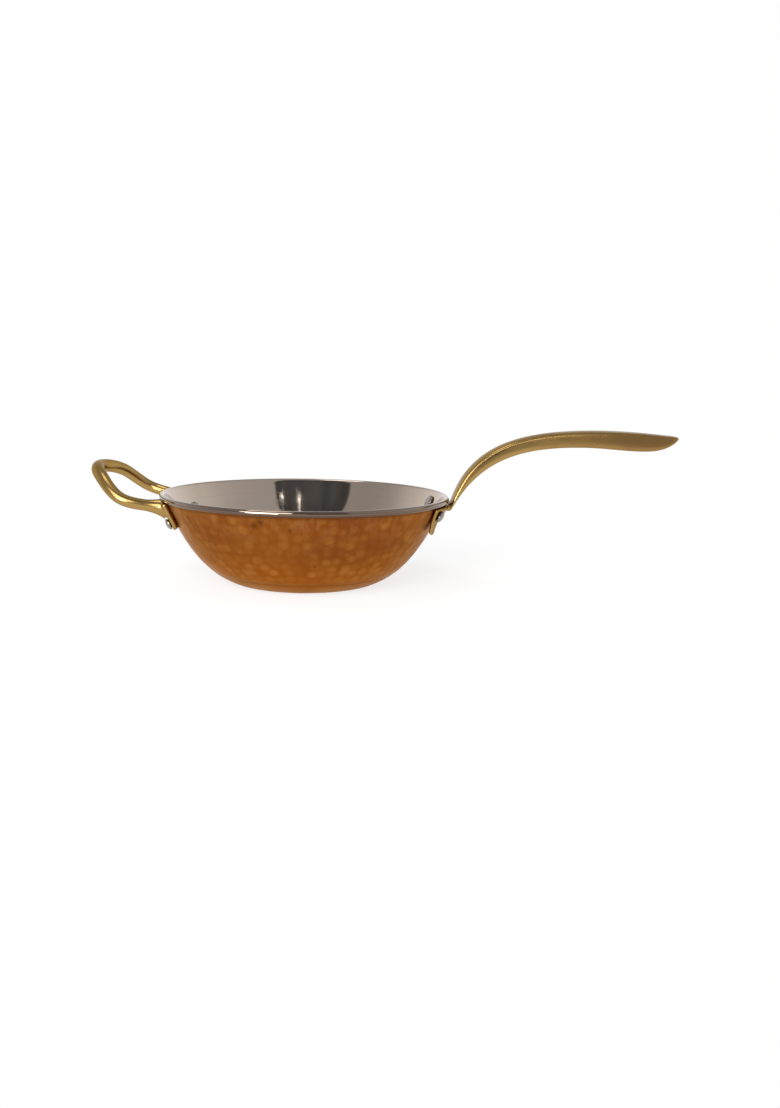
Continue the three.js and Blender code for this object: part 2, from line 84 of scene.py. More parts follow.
# Tones of the copper that follow the marks: painted highlights in the dishes, painted shade under the rim and
# in the turned line
HIGHLIGHT_LEVEL = 1.05  # up to which a dish carries a painted highlight
HIGHLIGHT_LEAST = 0.15  # of the dullest dish
HIGHLIGHT_CURVE = 1.5  # above one, few dishes carry a strong painted highlight
SEAM_SHADE = (2.4, 4.6)  # depths between which the painted shade under the rim fades out
LINE_SHADE = 0.7  # painted shade in the turned line
PLAIN_FADE = (-2, 3)  # from the marks' last ring, where the plain base turns into the beaten wall

# Scorched dots and a speck on the copper: angle round the bowl, depth, radius
SCORCHES = ((-104.3, 8.2, 3.4), (-101.8, 5.9, 3.6), (-91.0, 10.8, 1.6), (-80.9, 36.4, 1.4))
SCORCH_CORE = 0.1  # share of the radius that is fully dark
SCORCH_RAGGED = (0.6, 1.5)
SCORCH_GRAIN = 900.0  # of the ragged edge, count in a metre

# Feet of the castings
FOOT_TOP = 2.2
YOKE_HEIGHT = 4.8
YOKE_THICKNESS = 2.6
YOKE_INSET = 0.7  # of the arm's root from the yoke's edges
TONGUE_WIDTH = 18
TONGUE_TIP_WIDTH = 6.4
TONGUE_CORNER = 1.8
TONGUE_LENGTH = 17
TONGUE_THICKNESS = 2
TONGUE_FLARE = 2
HANDLE_RIVET_ANGLE = 19
HANDLE_RIVET_DEPTH = 7
LOOP_FOOT_ANGLE = 20
LOOP_FOOT_WIDTH = 14
LOOP_FOOT_LENGTH = 18
LOOP_FOOT_THICKNESS = 2.7
LOOP_FOOT_END = 0.98  # share of its round end at which the foot is cut off
LOOP_RIVET_DEPTH = 15.6

# Long handle's side view: reach from the rim, rise from the rim's top
HANDLE_REACH = 141
HANDLE_RISE = 42.3
CREST_REACH = 97
CREST_PULL = 48.5
KNEE_REACH = 1.8
KNEE_DROP = 3
KNEE_PULL = 1.3
KNEE_THICKNESS = 4.8
KNEE_TILT = 82
ARM_TOP_ANGLE = 72.5
ARM_TOP_PULL = 39.4
ARM_UNDER_ANGLE = 62
ARM_UNDER_PULL = 32.9
UNDER_WAIST_REACH = 83
UNDER_WAIST_DEPTH = 9.7
UNDER_WAIST_PULL = 44
BELLY_REACH = 117
BELLY_DEPTH = 11.2
BELLY_PULL = 11
TIP_DROP = 2.6
TIP_THICKNESS = 0.8
TIP_TOP_ANGLE = 5
TIP_TOP_PULL = 15
TIP_UNDER_PULL = 8
TIP_UNDER_ANGLE = 42

# Long handle's plan and section
ARM_ROOT_WIDTH = 21
ARM_WAIST_WIDTH = 19
GRIP_WIDTH = 24
TIP_WIDTH = 7
ARM_WAIST_AT = 0.4
GRIP_AT = 0.8
NOSE_AT = 0.86
ARM_CROWN = 0.7
ARM_TOP_EDGE = 1.6
ARM_UNDER_EDGE = 0.8
SIDE_BULGE = 0.2
CHANNEL_WALL = 3
CHANNEL_FROM = 0.14
CHANNEL_TO = 0.9
CHANNEL_RUN_OUT = 0.08

# Loop handle's bar: reach, spread and rise of its centre line
LOOP_LEG = (16.1, 35.5, -2.2)
LOOP_BEND = (31.3, 24.1, 10)
LOOP_TIP = (38.8, 0, 14)
LOOP_LEG_DIAMETER = 6.8
LOOP_TIP_DIAMETER = 8.2
LOOP_ROOT_DIAMETER = 13.4
LOOP_ROOT_LENGTH = 15
LOOP_ROOT_DEPTH = 6.6
LOOP_ROOT_GAP = 0.6  # between the flared ends and the wall

# Rivets
SHANK_RADIUS = 2.5
HEAD_RADIUS = 3.5
HEAD_HEIGHT = 2.2
TAIL_RADIUS = 4.2
TAIL_HEIGHT = 1.3
HEAD_EDGE = 0.6
HEAD_CHAMFER = 0.15
HEAD_CHAMFER_AT = 0.2  # share of the edge that the chamfer takes
SEAT_GAP = 0.3

# Fineness of the meshes
WALL_STEPS = 500
CURVE_STEPS = 160
LOOP_CURVE_STEPS = 60
FLOOR_STEPS = 7
CORNER_STEPS = 6
COPPER_COLUMNS = 560
COPPER_ROWS = 104
COPPER_INSIDE_ROWS = 24
STEEL_COLUMNS = 288
STEEL_OUTSIDE_ROWS = 40
STEEL_INSIDE_ROWS = 56
ROLL_STEPS = 26
PLATE_ROWS = 34
PLATE_COLUMNS = 28
HANDLE_RINGS = 200
HANDLE_EDGE_STEPS = 8
HANDLE_FACE_SHARES = (0.25, 0.5, 0.75)
LOOP_RINGS = 170
LOOP_SIDES = 40
RIVET_COLUMNS = 48
DOME_STEPS = 12
CAST_VOXEL = 0.39
CAST_SMOOTHING = 12
CAST_SMOOTHING_SHARE = 0.5
SHADING_ROUNDS = 8
SAME_STEP = 1e-9  # shorter steps along a line are left out
SAME_POINT = 1e-7  # in metres: nearer points are merged

# Copper, from its body to what lies over it
COPPER_BODY = (0.258, 0.0745, 0.0105)
COPPER_BROWN = (0.196, 0.044, 0.01)
COPPER_MOTTLE = (0.33, 0.115, 0.025)
# Lighter, more golden low on the wall: partly the copper's warmer tone, partly painted light for the bright
# floor it mirrors
COPPER_GOLDEN = (0.31, 0.088, 0.006)
# Painted highlight in the middle of each hammer mark
COPPER_MARK_HIGHLIGHT = (0.43, 0.17, 0.035)
COPPER_BASE = (0.31, 0.095, 0.012)
COPPER_WIPED = (0.38, 0.17, 0.06)
# Painted shade under the rim and in the turned line
COPPER_PAINTED_SHADE = (0.13, 0.045, 0.012)
COPPER_SPOT = (0.09, 0.028, 0.008)
COPPER_SCORCH = (0.10, 0.03, 0.006)
COPPER_EDGE = (0.9, 0.76, 0.57, 1)
COPPER_SATIN = (0.28, 0.4)
COPPER_LINES = (420.0, 420.0, 420.0)
COPPER_SMEARS = (230.0, 230.0, 45.0)
SMEAR_RANGE = (0.48, 0.7)
GOLDEN_DEPTHS = (26.0, 46.0)
HIGHLIGHT_DEPTHS = (18.0, 40.0)
HIGHLIGHT_SHARES = (0.74, 1.32)
HIGHLIGHT_MOTTLED = (0.45, 1.0)
WIPED_DEPTHS = (6.0, 22.0)

# Lining. The rim's painted dark reflection sets in between two radii, and the painted shade on its underside
# fades out between two heights, in metres
STEEL_BODY = (0.52, 0.42, 0.35)
STEEL_DULL = (0.44, 0.35, 0.285)
STEEL_RING = (0.55, 0.49, 0.44)
# Painted dark reflection on the outer side of the rolled rim
STEEL_DARK_REFLECTION = (0.2, 0.145, 0.11)
# Painted shade on the underside of the roll
STEEL_PAINTED_SHADE = (0.085, 0.042, 0.02)
STEEL_SHINE = (0.05, 0.08)
STEEL_RINGS = (1500.0, 1500.0, 1.0)
DARK_REFLECTION_RADII = (0.0868, 0.0884)
DARK_REFLECTION_MOST = 0.75
PAINTED_SHADE_HEIGHTS = (0.0522, 0.0538)

# Brass of the castings, with a thin lacquer. The long handle browns between two places along it, in metres
BRASS_BODY = (0.395, 0.247, 0.076)
BRASS_DULL = (0.297, 0.171, 0.052)
BRASS_HAZE = (0.415, 0.266, 0.086)
BRASS_HANDLED = (0.25, 0.123, 0.038)
BRASS_PIT = (0.14, 0.08, 0.03)
BRASS_EDGE = (0.5, 0.39, 0.24, 1)
BRASS_LACQUER = 0.28
BRASS_LACQUER_SATIN = 0.2
BRASS_HAZE_RANGE = (0.35, 0.7)
HANDLE_LINES = (70.0, 700.0, 700.0)
HANDLE_SATIN = (0.17, 0.25)
HANDLED_STRETCH = (0.13, 0.2)
LOOP_LINES = (300.0, 300.0, 300.0)
LOOP_SATIN = (0.19, 0.25)

# Rivets' steel
RIVET_BODY = (0.31, 0.275, 0.24)
RIVET_DULL = (0.19, 0.165, 0.14)
RIVET_SATIN = (0.2, 0.34)
RIVET_LINES = (600.0, 600.0, 2400.0)

# Shared effects: where a cloud texture's values mostly lie, and how the masks are cut from such textures
CLOUD_RANGE = (0.3, 0.7)
TARNISH_TOP = 0.82
TARNISH_SPAN = 0.6
TARNISH_EDGE = 0.22
POLISH_HAZE_SCALE = 0.17
SPECK_CHANCE = (0.6, 1.0)
SPECK_EDGE = 0.06

# Camera: fitted to the photograph, whose frame is 780 by 1108 pixels
PHOTO_HEIGHT = 1108
CAMERA_PLACE = (50.0, -600.0, 124.1)
CAMERA_PITCH = 7.579
CAMERA_ROLL = 1.282
CAMERA_CLIP = (0.01, 50)
FOCAL_PIXELS = 960.27
AXIS_RIGHT_PIXELS = -5  # optical axis, from the middle of the frame
AXIS_UP_PIXELS = 43
SENSOR = 36

# Studio, in metres: a round white floor just below the base
FLOOR_CENTRE = (0.05, 0.0, -0.0002)
FLOOR_RADIUS = 0.6
FLOOR_CORNER_TURN = 4
PAPER_GREY = (0.3, 0.3, 0.3, 1)
PAPER_FILL = 0.765
PAPER_MELT = (0.2, 0.4)

# White behind the pan, fading out toward the front and upward, and greys of the room on its left and right
BACKDROP_FRONT = (-0.4, 0.3)
BACKDROP_TOP = (0.25, 0.7)
ROOM_LEFT = (0.4, 0.4, 0.4)
ROOM_RIGHT = (0.6, 0.6, 0.6)
WHITE = (1.0, 1.0, 1.0)

# Dark cards that the lining and the rim mirror
LINING_CARD_OUTLINE = (
    (0.134, -0.19),
    (-0.172, -0.19),
    (-0.172, -0.125),
    (-0.12, -0.105),
    (0.1, -0.105),
    (0.134, -0.125),
)
LINING_CARD_HEIGHT = 0.3
RIM_CARD_PLACE = -0.2  # in front of the bowl
RIM_CARD_SIDES = (-0.012, 0.13)
RIM_CARD_HEIGHTS = (0.09, 0.2)
FELT_DARK = (0.07, 0.075, 0.085)
FELT_PALE = (0.17, 0.185, 0.2)
FELT_FOLDS = 14.0
FELT_RANGE = (0.35, 0.65)

# Lamps: name, place, width, height, power
SOFTBOXES = (
    ("overhead", (-0.25, 0.06, 1.0), 0.42, 0.3, 1.2),
    ("front_left", (-0.265, -0.77, 0.48), 0.83, 0.36, 4.7),
    ("low_left", (-0.38, -0.765, 0.15), 0.36, 0.22, 4.6),
    ("bulb_near", (0.005, 0.0062, 0.1217), 0.0014, 0.0009, 0.0001),
    ("bulb_far", (0.0173, 0.0121, 0.121), 0.0014, 0.0009, 0.00006),
)
LAMP_AIM = (0.03, 0.0, 0.04)


def heading(degrees):
    """Unit vector in a plane, at an angle from its first axis."""
    turn = math.radians(degrees)
    return np.array([math.cos(turn), math.sin(turn)])


def smoothstep(low, high, value):
    share = np.clip((value - low) / (high - low), 0, 1)
    return share * share * (3 - 2 * share)


def bezier(start, start_arm, end_arm, end, steps=CURVE_STEPS):
    t = np.linspace(0, 1, steps)[:, None]
    near = start + start_arm
    far = end + end_arm
    return start * (1 - t) ** 3 + near * 3 * t * (1 - t) ** 2 + far * 3 * t**2 * (1 - t) + end * t**3


def smooth_through(points):
    """Points of a smooth curve through a few given ones, easing by the root of their spacing."""
    points = np.asarray(points, float)
    padded = np.concatenate([[2 * points[0] - points[1]], points, [2 * points[-1] - points[-2]]])
    curve = []
    for i in range(len(points) - 1):
        a, b, c, d = padded[i : i + 4]
        near, mid, far = (np.linalg.norm(q - p) ** 0.5 for p, q in ((a, b), (b, c), (c, d)))
        leave = ((b - a) / near - (c - a) / (near + mid) + (c - b) / mid) * mid
        arrive = ((c - b) / mid - (d - b) / (mid + far) + (d - c) / far) * mid
        curve.append(bezier(b, leave / 3, -arrive / 3, c, LOOP_CURVE_STEPS))
    return np.concatenate(curve)


class Line:
    """A path through points, walked by distance."""

    def __init__(self, points):
        self.points = np.asarray(points, float)
        steps = np.linalg.norm(np.diff(self.points, axis=0), axis=1)
        keep = np.concatenate([[True], steps > SAME_STEP])
        self.points = self.points[keep]
        self.distance = np.concatenate([[0], np.cumsum(steps[keep[1:]])])
        self.length = self.distance[-1]
        self.tangents = np.gradient(self.points, self.distance, axis=0)
        self.tangents /= np.linalg.norm(self.tangents, axis=1)[:, None]

    def _walk(self, values, distance):
        return np.stack([np.interp(distance, self.distance, column) for column in values.T], axis=-1)

    def at(self, distance):
        return self._walk(self.points, distance)

    def along(self, distance):
        return self._walk(self.tangents, distance)


# Wall of the bowl

wall_up = heading(WALL_RIM_ANGLE)
wall_in = np.array([-wall_up[1], wall_up[0]])
roll_radius = ROLL_BORE + STEEL_SHEET
roll_centre = np.array([RIM_RADIUS - roll_radius, BOWL_HEIGHT - roll_radius])
copper_edge = roll_centre - wall_in * (COPPER_SHEET + SHEET_GAP - ROLL_BORE)
corner_centre = np.array([BASE_RADIUS, BASE_CORNER_RADIUS])
wall_start = corner_centre + BASE_CORNER_RADIUS * heading(WALL_BASE_ANGLE - 90)
wall_start_arm = heading(WALL_BASE_ANGLE) * WALL_BASE_PULL
wall = Line(bezier(wall_start, wall_start_arm, -wall_up * WALL_RIM_PULL, copper_edge, WALL_STEPS))


def wall_section(depth, offset):
    """Radius and height beside the wall, at a depth down from the copper's edge and an offset outward."""
    point = wall.at(wall.length - depth)
    along = wall.along(wall.length - depth)
    outward = np.stack([along[..., 1], -along[..., 0]], axis=-1)
    return point + outward * np.asarray(offset)[..., None]


def wall_radius(depth):
    return wall.at(wall.length - depth)[..., 0]


def beside_wall(depth, offset, angle):
    depth, offset, angle = np.broadcast_arrays(*(np.asarray(v, float) for v in (depth, offset, angle)))
    radius, height = np.moveaxis(wall_section(depth, offset), -1, 0)
    return np.stack([radius * np.cos(angle), radius * np.sin(angle), height], axis=-1)


def clear_of_wall(points, gap):
    """Move points that reach into the bowl's wall out to a gap from it."""
    radius = np.hypot(points[:, 0], points[:, 1])
    flat = np.stack([radius, points[:, 2]], axis=1)
    nearest = np.argmin(((flat[:, None] - wall.points[None]) ** 2).sum(2), axis=1)
    outward = np.stack([wall.tangents[nearest][:, 1], -wall.tangents[nearest][:, 0]], axis=1)
    reach = ((flat - wall.points[nearest]) * outward).sum(1)
    flat = flat + outward * np.maximum(0, gap - reach)[:, None]
    share = flat[:, 0] / radius
    return np.stack([points[:, 0] * share, points[:, 1] * share, flat[:, 1]], axis=1)


# Meshes


def grid_faces(rows, columns, close_columns=False):
    """Faces between rows of points, and back from the last column to the first where the rows are rings."""
    last_column = columns if close_columns else columns - 1
    row, column = np.meshgrid(np.arange(rows - 1), np.arange(last_column), indexing="ij")
    here = row * columns
    below = here + columns
    beside = (column + 1) % columns
    return np.stack([here + column, here + beside, below + beside, below + column], axis=-1).reshape(-1, 4)


def new_mesh(name, points, faces, fields=None):
    """A smooth mesh from points in millimetres, with doubled points merged and faces turned outward.

    Fields are named values for each point, which the finishes read.
    """
    mesh = bpy.data.meshes.new(name)
    mesh.from_pydata((points * MM).tolist(), [], faces)
    for field, values in (fields or {}).items():
        mesh.attributes.new(field, "FLOAT", "POINT").data.foreach_set("value", values)
    work = bmesh.new()
    work.from_mesh(mesh)
    bmesh.ops.remove_doubles(work, verts=work.verts, dist=SAME_POINT)
    bmesh.ops.recalc_face_normals(work, faces=work.faces)
    work.to_mesh(mesh)
    work.free()
    mesh.shade_smooth()
    return mesh


def new_piece(name, mesh, finish, node):
    piece = bpy.data.objects.new(name, mesh)
    bpy.context.scene.collection.objects.link(piece)
    mesh.materials.clear()
    mesh.materials.append(finish)
    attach(piece, "root")
    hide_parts(node)


def turns_round(columns):
    return np.arange(columns) * (2 * math.pi / columns)


def revolve(section, columns):
    """Points of a section turned about the upright axis, row by row, with the faces between them."""
    angle = turns_round(columns)
    radius, height = section[:, 0, None], section[:, 1, None]
    points = np.stack(np.broadcast_arrays(radius * np.cos(angle), radius * np.sin(angle), height), axis=-1)
    return points.reshape(-1, 3), grid_faces(len(section), columns, close_columns=True).tolist()


def base_section(inset):
    """The bowl's floor and base corner, at an inset from the copper's outer face."""
    floor = np.stack([np.linspace(0, BASE_RADIUS, FLOOR_STEPS), np.full(FLOOR_STEPS, float(inset))], axis=1)
    turns = np.linspace(-90, WALL_BASE_ANGLE - 90, CORNER_STEPS)
    corner = [corner_centre + (BASE_CORNER_RADIUS - inset) * heading(turn) for turn in turns[1:]]
    return np.concatenate([floor, corner])


def wall_depths(rows):
    """Depths of the wall's rows, from the one above the base corner up to the copper's edge."""
    return np.linspace(wall.length, 0, rows)[1:]


def sheet_section(inset, rows):
    return np.concatenate([base_section(inset), wall_section(wall_depths(rows), -inset)])


def mark_rows():
    """Rows of hammer marks: where each lies, how hard its blow was and how strong its painted highlight is.
    """
    rng = np.random.RandomState(MARK_SEED)
    rows = []
    for row in range(int(wall.length / MARK_ROW) + MARK_SPARE_ROWS):
        round_wall = 2 * math.pi * wall_radius(np.clip(row * MARK_ROW, 0, wall.length))
        count = int(round_wall / MARK_PITCH)
        turns = np.arange(count) + 0.5 * (row % 2) + rng.uniform(-MARK_STRAY, MARK_STRAY, count)
        rows.append(
            {
                "angle": turns * 2 * math.pi / count,
                "depth": row * MARK_ROW + rng.uniform(-MARK_STRAY, MARK_STRAY, count) * MARK_ROW,
                "press": rng.uniform(-MARK_PRESS, MARK_PRESS, count),
                "tone": rng.uniform(0, 1, count),
            }
        )
    return rows


def hammer_marks(depth, angle):
    """Level of the beaten face at each point, and a tone for the mark that the point lies in."""
    rows = mark_rows()
    radius = wall_radius(depth)
    height = np.full(depth.shape, np.inf)
    tone = np.zeros(depth.shape)
    nearest_row = np.round(depth / MARK_ROW).astype(int)
    for step in range(-2, 3):
        for row, marks in enumerate(rows):
            here = np.nonzero(nearest_row + step == row)
            if not len(here[0]):
                continue
            count = len(marks["angle"])
            first = np.floor(angle[here] / (2 * math.pi) * count - 0.5 * (row % 2)).astype(int)
            for beside in range(-1, 3):
                mark = (first + beside) % count
                turn = (angle[here] - marks["angle"][mark] + math.pi) % (2 * math.pi) - math.pi
                far = (turn * radius[here]) ** 2 + (depth[here] - marks["depth"][mark]) ** 2
                level = far / MARK_REACH**2 + marks["press"][mark]
                lower = level < height[here]
                height[here] = np.where(lower, level, height[here])
                tone[here] = np.where(lower, marks["tone"][mark], tone[here])
    return np.minimum(height, RIDGE_LEVEL), tone


def copper_bowl(finish):
    """Outer bowl: beaten outside, smooth inside and underneath."""
    outside = sheet_section(0, COPPER_ROWS)
    inside = sheet_section(COPPER_SHEET, COPPER_INSIDE_ROWS)[::-1]
    points, faces = revolve(np.concatenate([outside, inside]), COPPER_COLUMNS)

    depth, angle = np.meshgrid(wall_depths(COPPER_ROWS), turns_round(COPPER_COLUMNS), indexing="ij")
    level, tone = hammer_marks(depth, angle)
    above_end = wall_radius(depth) - MARKS_END_RADIUS
    beaten = smoothstep(MARKS_START, MARKS_START + MARKS_START_FADE, depth)
    beaten = beaten * smoothstep(0, MARKS_END_FADE, above_end)
    line = np.exp(-((above_end / TURNED_LINE_WIDTH) ** 2))
    wave = sum(np.sin(count * angle + shift + lean * depth) for count, shift, lean in HAND_WAVES)
    lift = (level - WALL_LEVEL) * MARK_DEPTH * beaten - TURNED_LINE_DEPTH * line
    lift = lift + HAND_WAVE / len(HAND_WAVES) * wave * beaten * smoothstep(0, HAND_WAVE_FADE, depth)
    first = len(base_section(0)) * COPPER_COLUMNS
    beaten_face = slice(first, first + depth.size)
    points[beaten_face] = beside_wall(depth, lift, angle).reshape(-1, 3)

    # Painted highlight: each dish is paler toward its middle, standing in for the bright floor that it
    # mirrors
    brightness = HIGHLIGHT_LEAST + (1 - HIGHLIGHT_LEAST) * tone**HIGHLIGHT_CURVE
    highlight = np.clip(HIGHLIGHT_LEVEL - level, 0, 1) * brightness * beaten
    # Painted shade just under the rolled rim and in the turned line
    painted_shade = np.maximum(1 - smoothstep(*SEAM_SHADE, depth), LINE_SHADE * line)
    plain = 1 - smoothstep(*PLAIN_FADE, above_end)
    fields = {}
    for name, values, elsewhere in (
        ("mark_highlight", highlight, 0),
        ("painted_shade", painted_shade, 0),
        ("plain_base", plain, 1),
        ("depth", depth, wall.length),
    ):
        fields[name] = np.full(len(points), float(elsewhere))
        fields[name][beaten_face] = values.ravel()
    mesh = new_mesh("copper_wall", points, faces, fields)
    new_piece("copper_bowl", mesh, finish, "copper_shell")


def steel_lining(finish):
    """Lining of the bowl, with its edge rolled outward round the copper's edge."""
    outside = COPPER_SHEET + SHEET_GAP
    wrap = 2 * math.pi - math.acos(-(outside - ROLL_BORE + SHEET_GAP) / ROLL_BORE)
    turns = np.linspace(0, wrap, ROLL_STEPS)[:, None]
    unit = np.cos(turns) * wall_in + np.sin(turns) * wall_up
    section = np.concatenate(
        [
            sheet_section(outside, STEEL_OUTSIDE_ROWS)[:-1],
            roll_centre + ROLL_BORE * unit,
            (roll_centre + roll_radius * unit)[::-1],
            sheet_section(outside + STEEL_SHEET, STEEL_INSIDE_ROWS)[::-1][1:],
        ]
    )
    mesh = new_mesh("steel_lining", *revolve(section, STEEL_COLUMNS))
    new_piece("steel_lining", mesh, finish, "steel_bowl")


# Castings


def loft(rings):
    """A closed body through rings of equally many points."""
    rings = np.asarray(rings)
    count, size = rings.shape[:2]
    faces = grid_faces(count, size, close_columns=True).tolist()
    faces.append(list(range(size)))
    faces.append(list(range((count - 1) * size, count * size)))
    return rings.reshape(-1, 3), faces


def wall_plate(half_width, length, thickness, stand_off, angle):
    """A plate that follows the wall down from under the rim. Half-width and stand-off change with depth."""
    depth = FOOT_TOP + np.linspace(0, length, PLATE_ROWS)
    across = np.linspace(-1, 1, PLATE_COLUMNS)
    half_turn = half_width(depth - FOOT_TOP) / wall_radius(depth)
    turn = angle + across[None] * half_turn[:, None]
    back = stand_off(depth)[:, None]
    layers = [beside_wall(depth[:, None], offset, turn) for offset in (back, back + thickness)]
    face = grid_faces(PLATE_ROWS, PLATE_COLUMNS)
    grid = np.arange(PLATE_ROWS * PLATE_COLUMNS).reshape(PLATE_ROWS, PLATE_COLUMNS)
    edge = np.concatenate([grid[0], grid[1:, -1], grid[-1, -2::-1], grid[-2:0:-1, 0]])
    beside = np.roll(edge, -1)
    front = grid.size
    rim = np.stack([edge, beside, beside + front, edge + front], axis=1)
    faces = np.concatenate([face[:, ::-1], face + front, rim[:, ::-1]])
    return np.stack(layers).reshape(-1, 3), faces.tolist()


def even_shading(mesh):
    """Take the ripple out of a casting's shading by sharing each point's normal with its neighbours."""
    normals = np.empty(len(mesh.vertices) * 3)
    mesh.vertices.foreach_get("normal", normals)
    normals = normals.reshape(-1, 3)
    ends = np.empty(len(mesh.edges) * 2, int)
    mesh.edges.foreach_get("vertices", ends)
    start, end = ends.reshape(-1, 2).T
    for _ in range(SHADING_ROUNDS):
        shared = normals.copy()
        np.add.at(shared, start, normals[end])
        np.add.at(shared, end, normals[start])
        normals = shared / np.linalg.norm(shared, axis=1)[:, None]
    mesh.normals_split_custom_set_from_vertices(normals)


def cast(name, bodies, finish, node):
    """Melt several closed bodies into one brass casting with soft edges and fillets."""
    points = np.concatenate([body[0] for body in bodies])
    faces = []
    first = 0
    for body_points, body_faces in bodies:
        faces += [[first + corner for corner in face] for face in body_faces]
        first += len(body_points)
    rough = bpy.data.objects.new(name + "_rough", new_mesh(name + "_rough", points, faces))
    bpy.context.scene.collection.objects.link(rough)
    remesh = rough.modifiers.new("melt", "REMESH")
    remesh.mode = "VOXEL"
    remesh.voxel_size = CAST_VOXEL * MM
    soften = rough.modifiers.new("soften", "SMOOTH")
    soften.factor = CAST_SMOOTHING_SHARE
    soften.iterations = CAST_SMOOTHING
    bpy.context.view_layer.update()
    graph = bpy.context.evaluated_depsgraph_get()
    mesh = bpy.data.meshes.new_from_object(rough.evaluated_get(graph))
    mesh.name = name
    bpy.data.objects.remove(rough)
    mesh.shade_smooth()
    even_shading(mesh)
    new_piece(name, mesh, finish, node)


def seated(depth):
    """Stand-off of a foot that lies close to the wall all the way."""
    return np.full(np.shape(depth), float(CAST_GAP))


def tongue_off(depth):
    """Stand-off of a tongue, which leaves the wall below its rivet."""
    share = np.maximum(0, depth - HANDLE_RIVET_DEPTH) / (FOOT_TOP + TONGUE_LENGTH - HANDLE_RIVET_DEPTH)
    return CAST_GAP + TONGUE_FLARE * share**2


def yoke_half(depth):
    """Half-width of the yoke, which reaches from rivet to rivet."""
    return np.full(depth.shape, math.radians(HANDLE_RIVET_ANGLE) * wall_radius(FOOT_TOP))


def tongue_half(depth):
    taper = np.clip(depth / (TONGUE_LENGTH - TONGUE_CORNER), 0, 1)
    straight = (TONGUE_WIDTH + (TONGUE_TIP_WIDTH - TONGUE_WIDTH) * taper) / 2
    round_end = np.clip((depth - TONGUE_LENGTH + TONGUE_CORNER) / TONGUE_CORNER, 0, 1)
    return straight - TONGUE_CORNER * (1 - np.sqrt(1 - round_end**2))


def loop_foot_half(depth):
    half = LOOP_FOOT_WIDTH / 2
    round_end = np.clip((depth - LOOP_FOOT_LENGTH + half) / half, 0, LOOP_FOOT_END)
    return half * np.sqrt(1 - round_end**2)


def handle_lines():
    """Side view of the long handle: its top line and its underside."""
    middle = CAST_GAP + YOKE_THICKNESS / 2
    root_top = wall_section(FOOT_TOP + YOKE_INSET, middle)
    root_under = wall_section(FOOT_TOP + YOKE_HEIGHT - YOKE_INSET, middle)
    knee = np.array([RIM_RADIUS + KNEE_REACH, BOWL_HEIGHT - KNEE_DROP])
    knee_under = knee - heading(KNEE_TILT) * KNEE_THICKNESS
    crest = np.array([RIM_RADIUS + CREST_REACH, BOWL_HEIGHT + HANDLE_RISE])
    waist = np.array([RIM_RADIUS + UNDER_WAIST_REACH, crest[1] - UNDER_WAIST_DEPTH])
    belly = np.array([RIM_RADIUS + BELLY_REACH, crest[1] - BELLY_DEPTH])
    tip = np.array([RIM_RADIUS + HANDLE_REACH, crest[1] - TIP_DROP])
    tip_under = tip - np.array([0, TIP_THICKNESS])
    level = np.array([1.0, 0.0])
    top_rise = heading(ARM_TOP_ANGLE)
    under_rise = heading(ARM_UNDER_ANGLE)
    top = [
        bezier(root_top, level * KNEE_PULL, -top_rise * KNEE_PULL, knee),
        bezier(knee, top_rise * ARM_TOP_PULL, -level * CREST_PULL, crest),
        bezier(crest, level * TIP_TOP_PULL, -heading(-TIP_TOP_ANGLE) * TIP_TOP_PULL, tip),
    ]
    under = [
        bezier(root_under, level * KNEE_PULL, -under_rise * KNEE_PULL, knee_under),
        bezier(knee_under, under_rise * ARM_UNDER_PULL, -level * UNDER_WAIST_PULL, waist),
        bezier(waist, level * BELLY_PULL, -level * BELLY_PULL, belly),
        bezier(belly, level * BELLY_PULL, -heading(TIP_UNDER_ANGLE) * TIP_UNDER_PULL, tip_under),
    ]
    return Line(np.concatenate(top)), Line(np.concatenate(under))


def handle_width(share):
    taper = math.sin(math.pi / 2 * min(share / ARM_WAIST_AT, 1))
    neck = ARM_ROOT_WIDTH + (ARM_WAIST_WIDTH - ARM_ROOT_WIDTH) * taper
    grip = neck + (GRIP_WIDTH - neck) * smoothstep(ARM_WAIST_AT, GRIP_AT, share)
    nose = max(0, (share - NOSE_AT) / (1 - NOSE_AT))
    return TIP_WIDTH + (grip - TIP_WIDTH) * math.sqrt(1 - nose**2)


def handle_section(width, depth, hollow):
    """Section of the long handle as (across, up) points: crowned top, bulged sides, a channel from below."""
    half = width / 2
    upper = min(ARM_TOP_EDGE, depth / 2)
    lower = min(ARM_UNDER_EDGE, depth / 4)
    crown = min(ARM_CROWN, depth / 4)
    mouth = max(half - CHANNEL_WALL, half / 3)
    right = [(0, hollow), (mouth / 2, hollow), (mouth, hollow), (mouth, 0)]
    right += [(half - lower, 0), (half, lower)]
    for share in HANDLE_FACE_SHARES:
        bulge = SIDE_BULGE * 4 * share * (1 - share)
        right.append((half + bulge, lower + (depth - upper - lower) * share))
    for turn in np.linspace(0, 90, HANDLE_EDGE_STEPS):
        across, up = heading(turn) * upper
        right.append((half - upper + across, depth - upper + up))
    for share in HANDLE_FACE_SHARES[::-1]:
        right.append(((half - upper) * share, depth + crown * (1 - share**2)))
    left = [(-across, up) for across, up in right[1:]][::-1]
    return np.array([*right, (0, depth + crown), *left])


